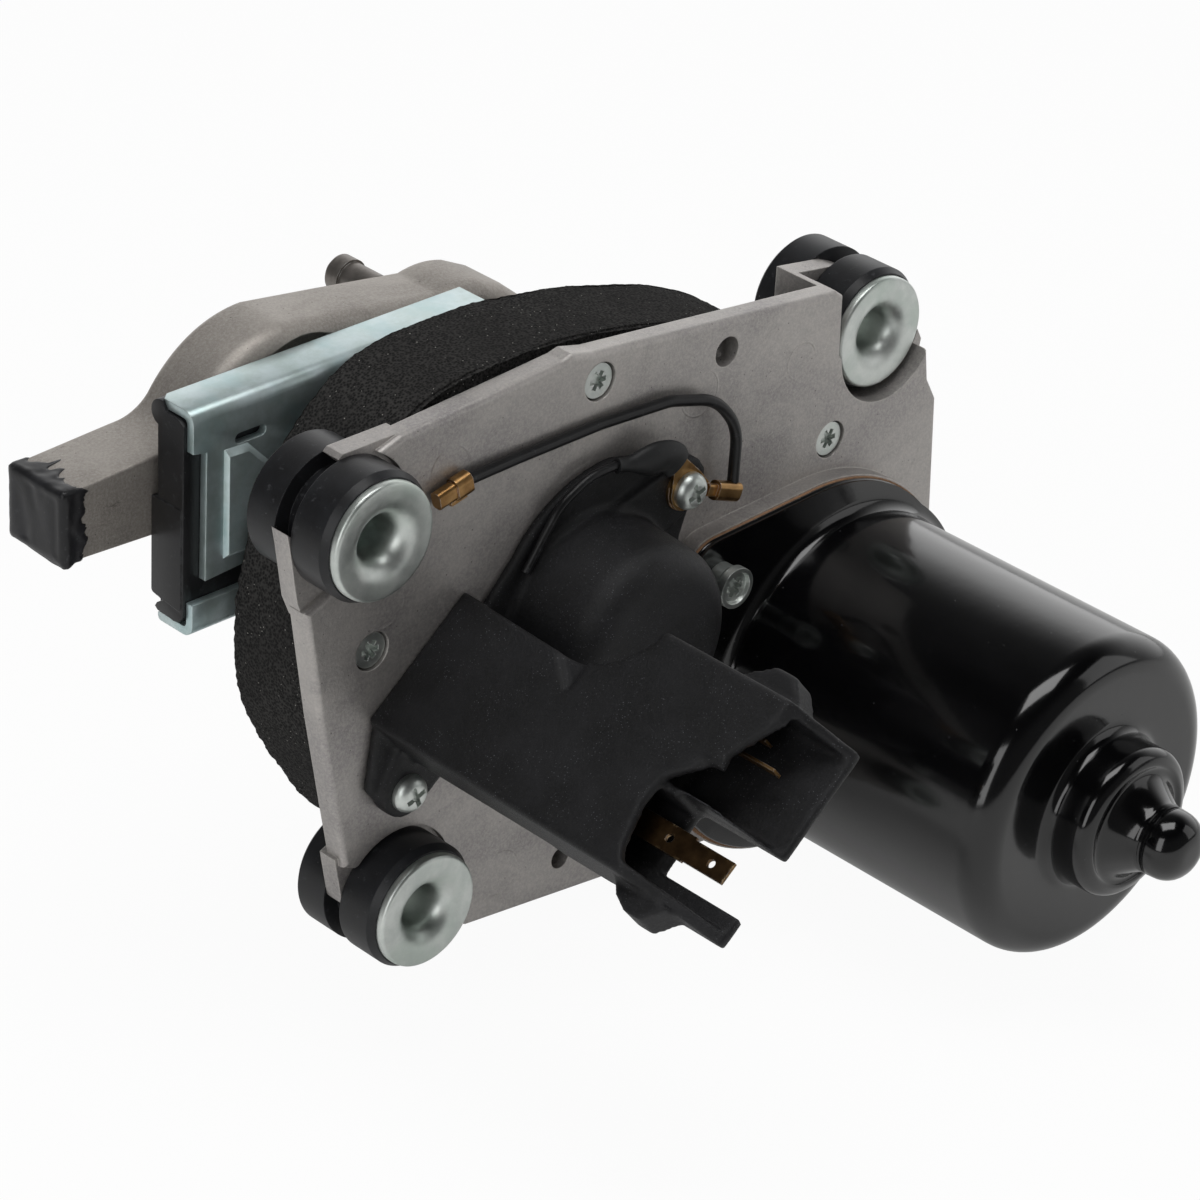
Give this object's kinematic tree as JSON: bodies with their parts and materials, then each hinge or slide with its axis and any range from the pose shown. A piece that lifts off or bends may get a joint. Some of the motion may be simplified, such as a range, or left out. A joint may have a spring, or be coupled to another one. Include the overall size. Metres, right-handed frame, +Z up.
{
  "type": "windscreen wiper motor",
  "caption": "Electric wiper motor on a cast plate with rubber mounts, geared drive, a swinging slide rail and a reciprocating cast arm.",
  "frame": {"origin": "middle of the bore of the left mounting sleeve", "axes": "+X along the slide rail towards the motor side, +Y from the motor towards the arm and along every shaft, +Z up"},
  "size_m": [0.212, 0.1733, 0.1353],
  "materials": {
    "cast_plate": "as-cast, finely grained",
    "cast_arm": "as-cast, brownish grey",
    "foam": "open-cell foam, stood in for by rubber",
    "black_paint": "gloss black",
    "gasket": "tan fibre",
    "ferrite": "sintered, matt",
    "bronze": "sintered",
    "inner_plastic": "moulded",
    "cover_plastic": "fine textured",
    "carbon": "dull carbon",
    "brass": "stamped",
    "zinc": "zinc plated, satin",
    "zinc_sheet": "bright zinc plated",
    "rubber": "satin",
    "wire_skin": "semi-gloss insulation",
    "shrink": "heat-shrunk",
    "steel": "machined",
    "core_steel": "stacked laminations",
    "copper": "enamelled copper",
    "gear_plastic": "natural moulded",
    "slider_plastic": "satin black",
    "pin_steel": "dark oiled steel"
  },
  "bodies": {
    "root": {"mounting_plate": "cast_plate", "gear_case": "cast_plate", "foam_seal": "foam", "motor_can": "black_paint", "can_gasket": "gasket", "magnets": "ferrite", "end_bush": "bronze", "plate_bush": "bronze", "brush_holder": "inner_plastic", "brushes": "carbon", "cover": "cover_plastic", "wide_terminal": "brass", "narrow_terminals": "brass", "contact_board": "inner_plastic", "contact_fingers": "brass", "cover_screws": "zinc", "can_screws": "zinc", "plate_screws": "zinc", "grommet_left": "rubber", "grommet_lower": "rubber", "grommet_right": "rubber", "sleeve_left": "zinc", "sleeve_lower": "zinc", "sleeve_right": "zinc", "earth_wire": "wire_skin", "tail_crimp": "brass", "ring_terminals": "brass", "lead_wire": "wire_skin", "boot": "shrink", "output_bush": "bronze", "fixed_pinion": "steel", "gear_axles": "steel"},
    "armature": {"armature_shaft": "steel", "armature_core": "core_steel", "armature_windings": "copper", "commutator": "copper"},
    "idler": {"idler_gear": "gear_plastic"},
    "gear_wheel": {"main_gear": "gear_plastic", "crank_pin": "steel", "contact_disc": "brass"},
    "rod": {"drive_rod": "steel"},
    "output_head": {"output_shaft": "steel", "output_lever": "steel", "slide_rail": "zinc_sheet"},
    "planet": {"planet_gear": "steel", "stroke_crank": "steel"},
    "wiper_arm": {"arm": "cast_arm", "slider": "slider_plastic", "hook_pin": "pin_steel"}
  },
  "joints": [
    {"name": "armature_spin", "type": "hinge", "parent": "root", "child": "armature", "pos_m": [0.1313, -0.0442, -0.0755], "axis": [0, 1, 0], "continuous": true},
    {"name": "idler_spin", "type": "hinge", "parent": "root", "child": "idler", "pos_m": [0.10088, 0.0078, -0.06089], "axis": [0, 1, 0], "continuous": true},
    {"name": "main_gear_spin", "type": "hinge", "parent": "root", "child": "gear_wheel", "pos_m": [0.0685, 0.0058, -0.0374], "axis": [0, 1, 0], "continuous": true},
    {"name": "output_swing", "type": "hinge", "parent": "root", "child": "output_head", "pos_m": [0.044, 0.0218, -0.0105], "axis": [0, 1, 0], "range_deg": [0, 105]},
    {"name": "rod_pivot", "type": "hinge", "parent": "output_head", "child": "rod", "pos_m": [0.04316, 0.0118, -0.00053], "axis": [0, 1, 0], "range_deg": [-105, 0]},
    {"name": "planet_spin", "type": "hinge", "parent": "output_head", "child": "planet", "pos_m": [0.029, 0.0258, -0.0105], "axis": [0, 1, 0], "range_deg": [0, 157.5]},
    {"name": "arm_stroke", "type": "slide", "parent": "output_head", "child": "wiper_arm", "axis": [-1, 0, 0], "range_m": [0, 0.0113]}
  ],
  "couplings": [
    {"joint": "idler_spin", "follows": "armature_spin", "ratio": -0.22727},
    {"joint": "main_gear_spin", "follows": "armature_spin", "ratio": 0.052448},
    {"joint": "rod_pivot", "follows": "output_swing", "ratio": -1},
    {"joint": "planet_spin", "follows": "output_swing", "ratio": 1.5}
  ]
}
